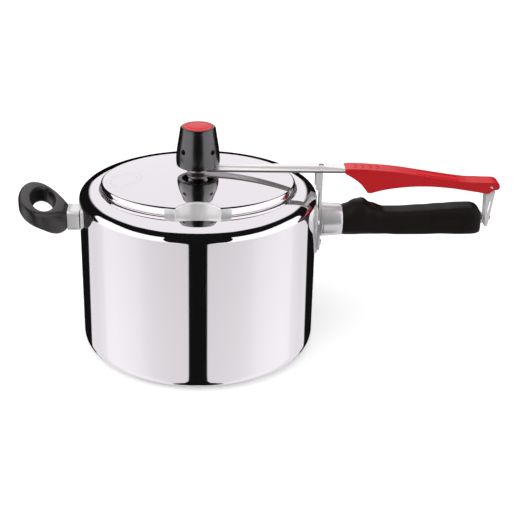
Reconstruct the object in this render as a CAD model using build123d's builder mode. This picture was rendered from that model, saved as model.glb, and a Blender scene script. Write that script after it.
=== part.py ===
from build123d import *
from math import sqrt
import os

# Inner-lid pressure cooker: a pot with an oval mouth, and a lid pulled up from inside by a lever.
# The origin is at the centre of the pot's base. The long handle points to +X, the loop handle to -X,
# and the safety notch of the lid faces -Y. All sizes are in millimetres.

# Pot, a spun aluminium body with a rolled-in flange
POT_R = 105.0
POT_H = 148.0
WALL = 3.0
FLOOR = 3.5
FOOT_R = 12.0
SHOULDER_W = 17.5
SHOULDER_H = 8.0
MOUTH_A = 87.0
MOUTH_B = 72.5

# Lid, an oval dome with a flat flange that stays under the pot's flange
LID_SHEET = 2.5
DOME_R = 320.0
DOME_TOP = 162.0
NECK_A = 85.5
NECK_B = 71.0
FLANGE_A = 91.0
FLANGE_B = 79.0
FLANGE_TOP = 142.7
EDGE_R = 3.0
NOTCH_Y = -84.0
NOTCH_R_LOW = 22.5
NOTCH_R_HIGH = 27.0

# Gasket, a rubber channel round the edge of the lid's flange
GASKET_LIP = 1.5
GASKET_REACH = 5.0
GASKET_GAP = 0.5
GASKET_BEVEL = 0.9

# Vent through the middle of the lid
TUBE_R = 3.8
TUBE_BORE_R = 1.2
TUBE_TOP = 178.0
TUBE_FLANGE_R = 8.0
TUBE_TIP = 1.2
FLANGE_GAP = 0.1
COLLAR_R = 5.0
COLLAR_H = 1.0
BAR_NUT_R = 7.0
BAR_NUT_H = 3.2
BAR_NUT_GAP = 0.9

# Safety plug in the lid, behind the vent
PLUG_Y = 36.0
PLUG_R = 5.0
PLUG_HEAD = 2.4
PLUG_HEAD_R = 6.6
PLUG_CROWN_R = 5.4
PLUG_BASE_R = 7.0
PLUG_BASE_T = 3.2
PLUG_GRIP = 0.8
PLUG_NECK_GAP = 0.9

# Lever bar, a flat strip with a round eye
BAR_W = 13.0
BAR_T = 2.0
EYE_R = 10.5
EYE_HOLE_R = 4.6
EYE_Z = 163.65
BAR_SLOT_X = 3.8
BAR_SLOT_Y = 6.2
# Underside of the bar as (x, z): level at the eye, then up to the post and down into the red handle
BAR_UNDER = [
    (0.0, EYE_Z),
    (12.0, EYE_Z),
    (88.0, 165.9),
    (110.2, 165.75),
    (130.0, 163.7),
    (152.0, 162.2),
]

# Fulcrum post
POST_X = 107.1
POST_T = 2.2
POST_W = 13.0
POST_FOOT_Z = 86.0
POST_SIDE_X = 103.3
POST_SIDE_LOW = 147.5
POST_WEB_LOW = 144.5
POST_SIDE_DROP = 0.75
POST_TOP = 165.35
TONGUE_W = 5.0
TONGUE_TOP = 167.0
PIVOT_X = POST_X + POST_T / 2
PIVOT_Z = 165.75

# Curved plate between the post and the wall, with its shield outline as (y, z)
PLATE_T = 2.0
PLATE_OUTLINE = [
    (-23.0, 132.0),
    (23.0, 132.0),
    (29.0, 117.0),
    (8.0, 85.0),
    (-8.0, 85.0),
    (-29.0, 117.0),
]
PLATE_CORNER = 6.0
FIT = 0.05

# Rivets through the wall, as (angle round Z in degrees, height)
RIVET_R = 2.0
RIVET_HEAD_R = 3.6
RIVET_HEAD_H = 1.4
RIVET_CROWN = 0.55
RIVET_GAP = 0.15
POST_RIVET = (0.0, 94.0)
SIDE_RIVETS = [(-10.0, 122.0), (10.0, 122.0)]
LOOP_RIVETS = [(176.8, 118.5), (183.2, 118.5)]

# Long handle
HANDLE_Z = 116.4
FERRULE_X = POST_X + POST_T
FERRULE_R_WALL = 15.2
HANDLE_X = 128.0
FERRULE_R_END = 13.75
FERRULE_T = 1.6
HANDLE_END_X = 251.0
HANDLE_END_FILLET = 5.0
ROD_R = 2.5
ROD_FIT = 0.1
# Sections of the lower handle, as (x, lowest z, highest z, width, corner radius)
LOWER_HANDLE = [
    (HANDLE_X, 102.8, 130.0, 27.0, 12.0),
    (HANDLE_X + 16, 103.2, 136.0, 27.0, 11.0),
    (HANDLE_X + 38, 104.6, 127.0, 25.0, 10.0),
    (HANDLE_X + 64, 104.2, 127.6, 24.0, 9.5),
    (HANDLE_X + 92, 105.2, 129.4, 24.0, 9.0),
    (HANDLE_X + 112, 104.4, 130.6, 24.0, 9.0),
    (HANDLE_END_X, 105.2, 129.0, 24.0, 9.0),
]

# Latch stud at the handle's end
STUD_Z = 118.0
STUD_FLANGE_R = 5.4
STUD_FLANGE_T = 2.4
STUD_NECK_R = 1.9
STUD_HEAD_X = 258.6
STUD_HEAD_T = 2.4
STUD_HEAD_R = 2.4
STUD_BEVEL = 0.8
STUD_CROWN = 1.2
STUD_CROWN_X = 1.0
STUD_COLLAR_X = 0.6

# Red upper handle
UPPER_W = 16.4
UPPER_X = 128.0
FORK_HALF = 5.9
FORK_TOP = 152.0
FORK_SHAPE = [(251.5, 140.0), (251.5, 147.5), (253.5, FORK_TOP), (270.0, FORK_TOP), (270.0, 140.0)]
# Side profile of the red handle as (x, z): back, nose over the link, fork lip, belly and finger guard
UPPER_BACK = [
    (UPPER_X, 165.9),
    (135.0, 167.0),
    (174.0, 164.2),
    (213.0, 157.8),
    (235.0, 154.8),
    (251.0, 154.2),
]
UPPER_NOSE = [(251.0, 154.2), (258.0, 152.9), (263.0, 151.3), (265.0, 149.4)]
UPPER_LIP = [(265.0, 149.4), (264.0, 148.6), (258.9, 146.4), (254.5, 143.6)]
UPPER_BELLY = [
    (254.5, 143.6),
    (242.0, 145.9),
    (222.0, 149.0),
    (203.0, 150.6),
    (185.0, 150.3),
    (166.0, 148.0),
    (152.0, 144.3),
]
UPPER_GUARD = [
    (152.0, 144.3),
    (148.0, 144.8),
    (143.0, 152.2),
    (137.0, 157.3),
    (130.0, 161.4),
    (UPPER_X, 162.0),
    (UPPER_X, 165.9),
]
SCREW_X = [135.0, 146.0]
SCREW_R = 1.5
SCREW_TOP = 161.8
SCREW_LENGTH = 3.6

# Latch link
PIN_X = 257.2
PIN_Z = 149.0
PIN_R = 1.5
PIN_FIT = 0.08
LINK_HALF = 5.5
LINK_T = 1.3
LINK_FOOT_Z = 111.5
LINK_FOOT_T = 1.5
LINK_EYE_R = 2.6
LINK_TOP = PIN_Z - 0.5
# Outline of the link's cheek and of its window, as (x, z)
LINK_CHEEK = [
    (PIN_X - 3.6, LINK_FOOT_Z + 30.5),
    (PIN_X - 2.6, LINK_FOOT_Z + 12.0),
    (PIN_X - 1.8, LINK_FOOT_Z),
    (PIN_X + 0.8, LINK_FOOT_Z),
    (PIN_X + 5.2, PIN_Z - 4.0),
    (PIN_X + 2.4, LINK_TOP),
    (PIN_X - 2.4, LINK_TOP),
]
LINK_WINDOW = [
    (PIN_X - 0.9, LINK_FOOT_Z + 24.0),
    (PIN_X - 0.7, LINK_FOOT_Z + 13.0),
    (PIN_X + 0.1, LINK_FOOT_Z + 13.0),
    (PIN_X + 1.7, LINK_FOOT_Z + 24.0),
]

# Loop handle on the other side
LOOP_ROOT_X = -116.0
LOOP_END_X = -158.5
LOOP_SLOPE = 0.40
LOOP_ROOT_Z = 127.4
LOOP_HOLE_X = -137.5
LOOP_HOLE_A = 9.8
LOOP_HOLE_B = 25.0
LOOP_DEPTH = 13.0
LOOP_HALF_SPAN = 50.0
BRACKET_W = 22.0
BRACKET_TOP = 127.4
BRACKET_LOW = 109.6
BRACKET_T = 1.5
BRACKET_CORNER = 3.0
BRACKET_FLARE = 4.0
BRACKET_FLARE_H = 2.0
# Half outline of the loop handle seen from above, and its underside from the tip in, as (x, z)
LOOP_OUTLINE = [
    (LOOP_ROOT_X, BRACKET_W / 2),
    (-123.0, 21.0),
    (-133.0, 32.5),
    (-144.0, 36.0),
    (-154.0, 25.0),
    (LOOP_END_X, 0.0),
]
LOOP_ROOT_TANGENT = (-0.45, 0.9)
LOOP_END_TANGENT = (0.0, -1.0)
LOOP_TIP_X = LOOP_END_X - 2.0
LOOP_TIP_Z = LOOP_ROOT_Z + LOOP_SLOPE * (LOOP_ROOT_X - LOOP_END_X)
LOOP_UNDER = [
    (LOOP_TIP_X, LOOP_TIP_Z - LOOP_DEPTH),
    (-137.0, 120.4),
    (-127.0, 111.4),
    (-121.0, 108.8),
    (LOOP_ROOT_X, BRACKET_LOW),
]
LOOP_SCREW_LENGTH = 12.0
LOOP_SCREW_HEAD_R = 5.0
LOOP_SCREW_HEAD_T = 2.5

# Weight that sits on the vent
WEIGHT_LOW = 168.5
WEIGHT_TOP = 204.2
CAVITY_R = 14.0
CAVITY_TOP = 194.0
STEAM_Z = 184.0
STEAM_R = 2.0
STEAM_COUNT = 4
STEAM_START = 45.0
CAP_R = 13.4
CAP_LOW = 199.5
CAP_ROUND = 1.0
CAP_FIT = 0.2
WEIGHT_LOW_R = 16.5
WEIGHT_NECK_R = 15.4
WEIGHT_NECK_Z = 200.5
WEIGHT_TOP_R = 14.8
WEIGHT_LIP = 0.6
# Side of the weight as (radius, z), with its direction at both ends
WEIGHT_SIDE = [
    (WEIGHT_LOW_R, WEIGHT_LOW),
    (19.0, 171.0),
    (19.2, 174.5),
    (17.3, 189.0),
    (WEIGHT_NECK_R, WEIGHT_NECK_Z),
]
WEIGHT_LOW_TANGENT = (1.0, 0.2)
WEIGHT_NECK_TANGENT = (-0.15, 1.0)
STEM_HOLE_R = 3.1
STEM_R = 3.0
STEM_H = 5.5
CORE_RIM_T = 5.0
CORE_R = 9.0
CORE_H = 22.5
CORE_BORE_FIT = 0.4
CORE_BORE_GAP = 0.3

# Alignment of a solid that stands on its location, and of one that hangs from it
STANDING = (Align.CENTER, Align.CENTER, Align.MIN)
HANGING = (Align.CENTER, Align.CENTER, Align.MAX)


def dome_height(x, y):
    """Height of the dome's outside over (x, y)."""
    return DOME_TOP - DOME_R + sqrt(DOME_R**2 - x**2 - y**2)


def pot_profile(radius, low, high, foot, shoulder_w, shoulder_h):
    """Closed half section of the pot body, drawn in the active line builder."""
    Line((0, low), (radius - foot, low))
    CenterArc((radius - foot, low + foot), foot, 270, 90)
    Line((radius, low + foot), (radius, high - shoulder_h))
    EllipticalCenterArc(
        (radius - shoulder_w, high - shoulder_h), shoulder_w, shoulder_h, start_angle=0, arc_size=90
    )
    Line((radius - shoulder_w, high), (0, high))
    Line((0, high), (0, low))


def at_wall(angle, z, radius):
    """Location on the wall with its X axis pointing away from the pot."""
    return Location((0, 0, z), (0, 0, angle)) * Location((radius, 0, 0))


def add_rivet(angle, z, outer_radius):
    """Add a round-head rivet from inside the pot's wall out to a radius."""
    inner = POT_R - WALL - RIVET_GAP
    outer = outer_radius + RIVET_GAP
    with BuildSketch(Plane.XY, mode=Mode.PRIVATE) as section:
        with BuildLine():
            Polyline(
                (inner - RIVET_HEAD_H, 0),
                (inner - RIVET_HEAD_H, RIVET_HEAD_R * RIVET_CROWN),
                (inner, RIVET_HEAD_R),
                (inner, RIVET_R),
                (outer, RIVET_R),
                (outer, RIVET_HEAD_R),
                (outer + RIVET_HEAD_H, RIVET_HEAD_R * RIVET_CROWN),
                (outer + RIVET_HEAD_H, 0),
                close=True,
            )
        make_face()
    turned = revolve(section.sketch, axis=Axis.X, mode=Mode.PRIVATE)
    add(at_wall(angle, z, 0) * turned)


def drill_rivet(angle, z):
    """Cut a rivet hole through what lies round the pot's wall."""
    with Locations(at_wall(angle, z, POT_R)):
        Cylinder(RIVET_R + FIT, 8 * WALL, rotation=(0, 90, 0), mode=Mode.SUBTRACT)


def cut_notch(low, grow):
    """Cut the lid's conical notch, from a height up, with its radius grown by a sheet thickness."""
    slope = (NOTCH_R_HIGH - NOTCH_R_LOW) / (DOME_TOP - FLANGE_TOP)
    low_r = NOTCH_R_LOW + slope * (low - FLANGE_TOP) + grow
    high = DOME_TOP + LID_SHEET
    with Locations((0, NOTCH_Y, low)):
        Cone(low_r, low_r + slope * (high - low), high - low, align=STANDING, mode=Mode.SUBTRACT)


def save(builder, name):
    """Label a finished piece and write its STEP file."""
    builder.part.label = name
    export_step(builder.part, f"parts/{name}.step")


os.makedirs("parts", exist_ok=True)

# ---------------------------------------------------------------- pot body
with BuildPart() as pot_body:
    with BuildSketch(Plane.XZ):
        with BuildLine():
            pot_profile(POT_R, 0, POT_H, FOOT_R, SHOULDER_W, SHOULDER_H)
        make_face()
    revolve(axis=Axis.Z)
    with BuildSketch(Plane.XZ):
        with BuildLine():
            pot_profile(
                POT_R - WALL,
                FLOOR,
                POT_H - WALL,
                FOOT_R - WALL,
                SHOULDER_W - WALL,
                SHOULDER_H - WALL,
            )
        make_face()
    revolve(axis=Axis.Z, mode=Mode.SUBTRACT)
    with BuildSketch(Plane.XY.offset(POT_H)):
        Ellipse(MOUTH_A, MOUTH_B)
    extrude(amount=-2 * WALL, mode=Mode.SUBTRACT)
    for angle, z in [POST_RIVET] + SIDE_RIVETS + LOOP_RIVETS:
        drill_rivet(angle, z)
save(pot_body, "pot_body")

# ---------------------------------------------------------------- lid
with BuildPart() as lid_hollow:
    with BuildSketch(Plane.XY.offset(FLANGE_TOP - 2 * LID_SHEET)):
        Ellipse(NECK_A - LID_SHEET, NECK_B - LID_SHEET)
    extrude(amount=DOME_TOP - FLANGE_TOP + 2 * LID_SHEET)
    with Locations((0, 0, DOME_TOP - DOME_R)):
        Sphere(DOME_R - LID_SHEET, mode=Mode.INTERSECT)
    cut_notch(FLANGE_TOP - 3 * LID_SHEET, LID_SHEET)

with BuildPart() as lid:
    with BuildSketch(Plane.XY.offset(FLANGE_TOP - LID_SHEET)):
        Ellipse(NECK_A, NECK_B)
    extrude(amount=DOME_TOP - FLANGE_TOP + 2 * LID_SHEET)
    with Locations((0, 0, DOME_TOP - DOME_R)):
        Sphere(DOME_R, mode=Mode.INTERSECT)
    cut_notch(FLANGE_TOP, 0)
    top_face = lid.faces().sort_by(Axis.Z)[-1]
    fillet(top_face.edges(), EDGE_R)
    with BuildSketch(Plane.XY.offset(FLANGE_TOP - LID_SHEET)):
        Ellipse(FLANGE_A, FLANGE_B)
    extrude(amount=LID_SHEET)
    add(lid_hollow.part, mode=Mode.SUBTRACT)
    with BuildSketch(Plane.XY.offset(DOME_TOP + LID_SHEET)):
        Circle(TUBE_R + 2 * FIT)
        with Locations((0, PLUG_Y)):
            Circle(PLUG_R)
    extrude(amount=-4 * LID_SHEET, mode=Mode.SUBTRACT)
save(lid, "lid")

# ---------------------------------------------------------------- gasket
gasket_low = FLANGE_TOP - LID_SHEET - GASKET_LIP
gasket_high = POT_H - WALL - GASKET_GAP
with BuildPart() as gasket:
    with BuildSketch(Plane.XY.offset(gasket_low)):
        Ellipse(FLANGE_A + GASKET_LIP, FLANGE_B + GASKET_LIP)
        Ellipse(FLANGE_A - GASKET_REACH, FLANGE_B - GASKET_REACH, mode=Mode.SUBTRACT)
    extrude(amount=gasket_high - gasket_low)
    outer_rim = gasket.edges().group_by(Axis.Z)[-1].sort_by(SortBy.LENGTH)[-1]
    chamfer(outer_rim, GASKET_BEVEL)
    with BuildSketch(Plane.XY.offset(FLANGE_TOP - LID_SHEET)):
        Ellipse(FLANGE_A, FLANGE_B)
    extrude(amount=LID_SHEET, mode=Mode.SUBTRACT)
save(gasket, "gasket")

# ---------------------------------------------------------------- vent
tube_flange_top = DOME_TOP - 2 * LID_SHEET - FLANGE_GAP
with BuildPart() as vent_tube:
    with BuildSketch(Plane.XY.offset(tube_flange_top - LID_SHEET)):
        Circle(TUBE_FLANGE_R)
    extrude(amount=LID_SHEET)
    with BuildSketch(Plane.XY.offset(tube_flange_top - 3 * LID_SHEET)):
        Circle(TUBE_R)
    extrude(amount=TUBE_TOP - tube_flange_top + 3 * LID_SHEET)
    tip = vent_tube.edges().group_by(Axis.Z)[-1]
    chamfer(tip, TUBE_TIP)
    with BuildSketch(Plane.XY.offset(TUBE_TOP)):
        Circle(TUBE_BORE_R)
    extrude(amount=-(TUBE_TOP - tube_flange_top + 3 * LID_SHEET), mode=Mode.SUBTRACT)
save(vent_tube, "vent_tube")


def washer(low, thickness, outer, inner):
    """Flat ring round the Z axis, added to the active part builder."""
    with Locations((0, 0, low + thickness / 2)):
        Cylinder(outer, thickness)
        Cylinder(inner, thickness, mode=Mode.SUBTRACT)


with BuildPart() as vent_washer:
    washer(tube_flange_top, LID_SHEET, TUBE_FLANGE_R, TUBE_R + FIT)
save(vent_washer, "vent_washer")

with BuildPart() as vent_collar:
    washer(DOME_TOP, COLLAR_H, COLLAR_R, TUBE_R + FIT)
save(vent_collar, "vent_collar")

bar_nut_low = EYE_Z + BAR_T + BAR_NUT_GAP
with BuildPart() as bar_nut:
    with BuildSketch(Plane.XY.offset(bar_nut_low)):
        RegularPolygon(BAR_NUT_R, 6)
        Circle(TUBE_R + FIT, mode=Mode.SUBTRACT)
    extrude(amount=BAR_NUT_H)
save(bar_nut, "bar_nut")

# ---------------------------------------------------------------- safety plug
plug_top = dome_height(0, PLUG_Y)
plug_neck = plug_top - LID_SHEET - PLUG_NECK_GAP
with BuildPart() as safety_plug:
    with BuildSketch(Plane.YZ):
        with BuildLine():
            Polyline(
                (PLUG_Y, plug_neck - PLUG_BASE_T),
                (PLUG_Y + PLUG_BASE_R, plug_neck - PLUG_BASE_T),
                (PLUG_Y + PLUG_BASE_R, plug_neck),
                (PLUG_Y + PLUG_R - FIT, plug_neck),
                (PLUG_Y + PLUG_R - FIT, plug_top + PLUG_GRIP),
                (PLUG_Y + PLUG_HEAD_R, plug_top + PLUG_GRIP),
                (PLUG_Y + PLUG_CROWN_R, plug_top + PLUG_HEAD),
                (PLUG_Y, plug_top + PLUG_HEAD),
                close=True,
            )
        make_face()
    revolve(axis=Axis((0, PLUG_Y, 0), (0, 0, 1)))
save(safety_plug, "safety_plug")

# ---------------------------------------------------------------- lever bar

def strip_outline(points, thickness):
    """Closed side outline of a strip that lies on the points, drawn in the active line builder."""
    upper = [(x, z + thickness) for x, z in reversed(points)]
    Polyline(*points, *upper, close=True)


with BuildPart() as lever_bar:
    with BuildSketch(Plane.XZ):
        with BuildLine():
            strip_outline(BAR_UNDER, BAR_T)
        make_face()
    extrude(amount=BAR_W / 2, both=True)
    with BuildSketch(Plane.XY.offset(EYE_Z)):
        Circle(EYE_R)
    extrude(amount=BAR_T)
    with BuildSketch(Plane.XY.offset(EYE_Z)):
        Circle(EYE_HOLE_R)
    extrude(amount=BAR_T, mode=Mode.SUBTRACT)
    with BuildSketch(Plane.XY.offset(PIVOT_Z - 2 * BAR_T)):
        with Locations((PIVOT_X, 0)):
            Rectangle(BAR_SLOT_X, BAR_SLOT_Y)
    extrude(amount=4 * BAR_T, mode=Mode.SUBTRACT)
save(lever_bar, "lever_bar")

# ---------------------------------------------------------------- fulcrum post and plate
with BuildPart() as wall_plate:
    with BuildSketch(Plane.XY):
        Circle(POT_R + FIT + PLATE_T)
        Circle(POT_R + FIT, mode=Mode.SUBTRACT)
    extrude(amount=POT_H)
    with BuildSketch(Plane.YZ) as shield:
        with BuildLine():
            Polyline(*PLATE_OUTLINE, close=True)
        make_face()
        fillet(shield.vertices(), PLATE_CORNER)
    extrude(amount=POT_R + 2 * PLATE_T, mode=Mode.INTERSECT)
    for angle, z in [POST_RIVET] + SIDE_RIVETS:
        drill_rivet(angle, z)
save(wall_plate, "wall_plate")

with BuildPart() as fulcrum_post:
    with BuildSketch(Plane.YZ.offset(POST_X)):
        with BuildLine():
            Polyline(
                (-POST_W / 2, POST_FOOT_Z + POST_W / 2),
                (-POST_W / 2, POST_TOP),
                (-TONGUE_W / 2, POST_TOP),
                (-TONGUE_W / 2, TONGUE_TOP),
                (TONGUE_W / 2, TONGUE_TOP),
                (TONGUE_W / 2, POST_TOP),
                (POST_W / 2, POST_TOP),
                (POST_W / 2, POST_FOOT_Z + POST_W / 2),
            )
            CenterArc((0, POST_FOOT_Z + POST_W / 2), POST_W / 2, 0, -180)
        make_face()
        with Locations((0, HANDLE_Z)):
            Circle(ROD_R + FIT, mode=Mode.SUBTRACT)
    extrude(amount=POST_T)
    drill_rivet(*POST_RIVET)
    with BuildSketch(Plane.XZ):
        Polygon(
            (POST_SIDE_X, POST_SIDE_LOW),
            (POST_X, POST_WEB_LOW),
            (POST_X + POST_T / 2, POST_WEB_LOW),
            (POST_X + POST_T / 2, POST_TOP),
            (POST_X, POST_TOP),
            (POST_SIDE_X, POST_TOP - POST_SIDE_DROP),
            align=None,
        )
    extrude(amount=POST_W / 2, both=True)
    with BuildSketch(Plane.XY.offset(POST_FOOT_Z)):
        with Locations(((POST_SIDE_X + POST_X) / 2, 0)):
            Rectangle(POST_X - POST_SIDE_X, POST_W - 2 * POST_T)
    extrude(amount=TONGUE_TOP - POST_FOOT_Z, mode=Mode.SUBTRACT)
save(fulcrum_post, "fulcrum_post")

# ---------------------------------------------------------------- wall rivets
with BuildPart() as wall_rivets:
    add_rivet(*POST_RIVET, POST_X + POST_T)
    for angle, z in SIDE_RIVETS:
        add_rivet(angle, z, POT_R + FIT + PLATE_T)
save(wall_rivets, "wall_rivets")

# ---------------------------------------------------------------- long handle
with BuildPart() as handle_ferrule:
    with BuildSketch(Plane.XZ):
        with BuildLine():
            Polyline(
                (FERRULE_X, HANDLE_Z + ROD_R + ROD_FIT),
                (FERRULE_X, HANDLE_Z + FERRULE_R_WALL),
                (HANDLE_X, HANDLE_Z + FERRULE_R_END),
                (HANDLE_X, HANDLE_Z + ROD_R + ROD_FIT),
                (HANDLE_X - FERRULE_T, HANDLE_Z + ROD_R + ROD_FIT),
                (HANDLE_X - FERRULE_T, HANDLE_Z + FERRULE_R_END - FERRULE_T),
                (FERRULE_X + FERRULE_T, HANDLE_Z + FERRULE_R_WALL - FERRULE_T),
                (FERRULE_X + FERRULE_T, HANDLE_Z + ROD_R + ROD_FIT),
                close=True,
            )
        make_face()
    revolve(axis=Axis((0, 0, HANDLE_Z), (1, 0, 0)))
save(handle_ferrule, "handle_ferrule")

with BuildPart() as lower_handle:
    for x, z_low, z_high, width, corner in LOWER_HANDLE:
        section_plane = Plane((x, 0, (z_low + z_high) / 2), x_dir=(0, 1, 0), z_dir=(1, 0, 0))
        with BuildSketch(section_plane):
            RectangleRounded(width, z_high - z_low, corner)
    loft()
    end_rim = lower_handle.faces().sort_by(Axis.X)[-1].edges()
    fillet(end_rim, HANDLE_END_FILLET)
    with Locations((HANDLE_X, 0, HANDLE_Z)):
        Cylinder(ROD_R + ROD_FIT, 2 * HANDLE_END_X, rotation=(0, 90, 0), mode=Mode.SUBTRACT)
save(lower_handle, "lower_handle")

with BuildPart() as handle_tie_rod:
    with Locations(((FERRULE_X - POST_T + HANDLE_END_X) / 2, 0, HANDLE_Z)):
        Cylinder(ROD_R, HANDLE_END_X - FERRULE_X + POST_T, rotation=(0, 90, 0))
save(handle_tie_rod, "handle_tie_rod")

neck_x = HANDLE_END_X + STUD_FLANGE_T
with BuildPart() as latch_stud:
    with BuildSketch(Plane.XZ):
        with BuildLine():
            Polyline(
                (HANDLE_END_X, STUD_Z),
                (HANDLE_END_X, STUD_Z + STUD_FLANGE_R),
                (neck_x - STUD_BEVEL, STUD_Z + STUD_FLANGE_R),
                (neck_x, STUD_Z + STUD_FLANGE_R - STUD_BEVEL),
                (neck_x, STUD_Z + STUD_NECK_R),
                (STUD_HEAD_X, STUD_Z + STUD_NECK_R),
                (STUD_HEAD_X + STUD_COLLAR_X, STUD_Z + STUD_HEAD_R),
                (STUD_HEAD_X + STUD_HEAD_T - STUD_CROWN_X, STUD_Z + STUD_HEAD_R),
                (STUD_HEAD_X + STUD_HEAD_T, STUD_Z + STUD_HEAD_R - STUD_CROWN),
                (STUD_HEAD_X + STUD_HEAD_T, STUD_Z),
                close=True,
            )
        make_face()
    revolve(axis=Axis((0, 0, STUD_Z), (1, 0, 0)))
save(latch_stud, "latch_stud")

# ---------------------------------------------------------------- upper handle
with BuildPart() as upper_handle:
    with BuildSketch(Plane.XZ):
        with BuildLine():
            Spline(*UPPER_BACK)
            Spline(*UPPER_NOSE, tangents=((1, 0), (0, -1)))
            Polyline(*UPPER_LIP)
            Spline(*UPPER_BELLY)
            Polyline(*UPPER_GUARD)
        make_face()
    extrude(amount=UPPER_W / 2, both=True)
    with BuildSketch(Plane.XZ):
        with BuildLine():
            strip_outline([(x, z - FIT) for x, z in BAR_UNDER[-3:]], BAR_T + 2 * FIT)
        make_face()
    extrude(amount=BAR_W / 2 + FIT, both=True, mode=Mode.SUBTRACT)
    with BuildSketch(Plane.XZ):
        Polygon(*FORK_SHAPE, align=None)
    extrude(amount=FORK_HALF, both=True, mode=Mode.SUBTRACT)
    with Locations((PIN_X, 0, PIN_Z)):
        Cylinder(PIN_R + FIT, 2 * UPPER_W, rotation=(90, 0, 0), mode=Mode.SUBTRACT)
    for x in SCREW_X:
        with Locations((x, 0, BAR_UNDER[-1][1])):
            Cylinder(SCREW_R + FIT, UPPER_W, align=HANGING, mode=Mode.SUBTRACT)
save(upper_handle, "upper_handle")

with BuildPart() as handle_screws:
    for x in SCREW_X:
        with Locations((x, 0, SCREW_TOP)):
            Cylinder(SCREW_R, SCREW_LENGTH, align=HANGING)
save(handle_screws, "handle_screws")

# ---------------------------------------------------------------- latch
with BuildPart() as latch_pin:
    with Locations((PIN_X, 0, PIN_Z)):
        Cylinder(PIN_R, UPPER_W - 1, rotation=(90, 0, 0))
save(latch_pin, "latch_pin")

with BuildPart() as latch_link:
    with BuildSketch(Plane.XZ):
        Polygon(*LINK_CHEEK, align=None)
        with Locations((PIN_X, PIN_Z)):
            Circle(LINK_EYE_R)
            Circle(PIN_R + PIN_FIT, mode=Mode.SUBTRACT)
        Polygon(*LINK_WINDOW, align=None, mode=Mode.SUBTRACT)
    extrude(amount=LINK_HALF, both=True)
    foot_edges = latch_link.edges().filter_by(Axis.X).group_by(Axis.Z)[0]
    fillet(foot_edges, LINK_T)
    with Locations((PIN_X, 0, LINK_FOOT_Z + LINK_FOOT_T)):
        Box(UPPER_W, 2 * (LINK_HALF - LINK_T), PIN_Z, align=STANDING, mode=Mode.SUBTRACT)
save(latch_link, "latch_link")

# ---------------------------------------------------------------- loop handle
bracket_mid = (BRACKET_TOP + BRACKET_LOW) / 2
bracket_h = BRACKET_TOP - BRACKET_LOW
with BuildPart() as loop_bracket:
    with BuildSketch(Plane.YZ.offset(LOOP_ROOT_X)):
        with Locations((0, bracket_mid)):
            RectangleRounded(BRACKET_W, bracket_h, BRACKET_CORNER)
    extrude(amount=-LOOP_ROOT_X - POT_R + BRACKET_T)
    with BuildSketch(Plane.XY.offset(BRACKET_LOW - BRACKET_FLARE_H)):
        Circle(POT_R + FIT + BRACKET_T)
        with Locations((-POT_R, 0)):
            Rectangle(2 * BRACKET_W, BRACKET_W + 2 * BRACKET_FLARE, mode=Mode.INTERSECT)
    extrude(amount=bracket_h + 2 * BRACKET_FLARE_H)
    with BuildSketch(Plane.YZ.offset(LOOP_ROOT_X + BRACKET_T)):
        with Locations((0, bracket_mid)):
            RectangleRounded(BRACKET_W - 2 * BRACKET_T, bracket_h - 2 * BRACKET_T, BRACKET_T)
    extrude(amount=-LOOP_ROOT_X - POT_R - BRACKET_T, mode=Mode.SUBTRACT)
    with Locations((0, 0, bracket_mid)):
        Cylinder(POT_R + FIT, 3 * BRACKET_W, mode=Mode.SUBTRACT)
    with BuildSketch(Plane.XY.offset(bracket_mid)):
        with Locations((-POT_R - 4 * BRACKET_T, 0)):
            Rectangle(6 * BRACKET_T, BRACKET_W - 2 * BRACKET_T)
    extrude(amount=bracket_h / 2 - BRACKET_T, both=True, mode=Mode.SUBTRACT)
    for angle, z in LOOP_RIVETS:
        drill_rivet(angle, z)
    with Locations((LOOP_ROOT_X, 0, bracket_mid)):
        Cylinder(ROD_R + FIT, 4 * BRACKET_T, rotation=(0, 90, 0), mode=Mode.SUBTRACT)
save(loop_bracket, "loop_bracket")

with BuildPart() as loop_handle:
    with BuildSketch(Plane.XZ):
        with BuildLine():
            Polyline(
                (LOOP_ROOT_X, BRACKET_LOW),
                (LOOP_ROOT_X, LOOP_ROOT_Z),
                (LOOP_TIP_X, LOOP_TIP_Z + 1),
                LOOP_UNDER[0],
            )
            Spline(*LOOP_UNDER)
        make_face()
    extrude(amount=LOOP_HALF_SPAN, both=True)
    with BuildSketch(Plane.XY):
        with BuildLine():
            outline = Spline(*LOOP_OUTLINE, tangents=(LOOP_ROOT_TANGENT, LOOP_END_TANGENT))
            mirror(outline, about=Plane.XZ)
            Line((LOOP_ROOT_X, BRACKET_W / 2), (LOOP_ROOT_X, -BRACKET_W / 2))
        make_face()
        with Locations((LOOP_HOLE_X, 0)):
            Ellipse(LOOP_HOLE_A, LOOP_HOLE_B, mode=Mode.SUBTRACT)
    extrude(amount=2 * POT_H, mode=Mode.INTERSECT)
    with Locations((LOOP_ROOT_X, 0, bracket_mid)):
        Cylinder(ROD_R + FIT, 4 * LOOP_SCREW_LENGTH, rotation=(0, 90, 0), mode=Mode.SUBTRACT)
save(loop_handle, "loop_handle")

with BuildPart() as loop_screw:
    with Locations((LOOP_ROOT_X + BRACKET_T, 0, bracket_mid)):
        Cylinder(ROD_R, LOOP_SCREW_LENGTH, align=HANGING, rotation=(0, 90, 0))
        Cylinder(LOOP_SCREW_HEAD_R, LOOP_SCREW_HEAD_T, align=STANDING, rotation=(0, 90, 0))
save(loop_screw, "loop_screw")

with BuildPart() as loop_rivets:
    for angle, z in LOOP_RIVETS:
        add_rivet(angle, z, POT_R + FIT + BRACKET_T)
save(loop_rivets, "loop_rivets")

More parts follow.
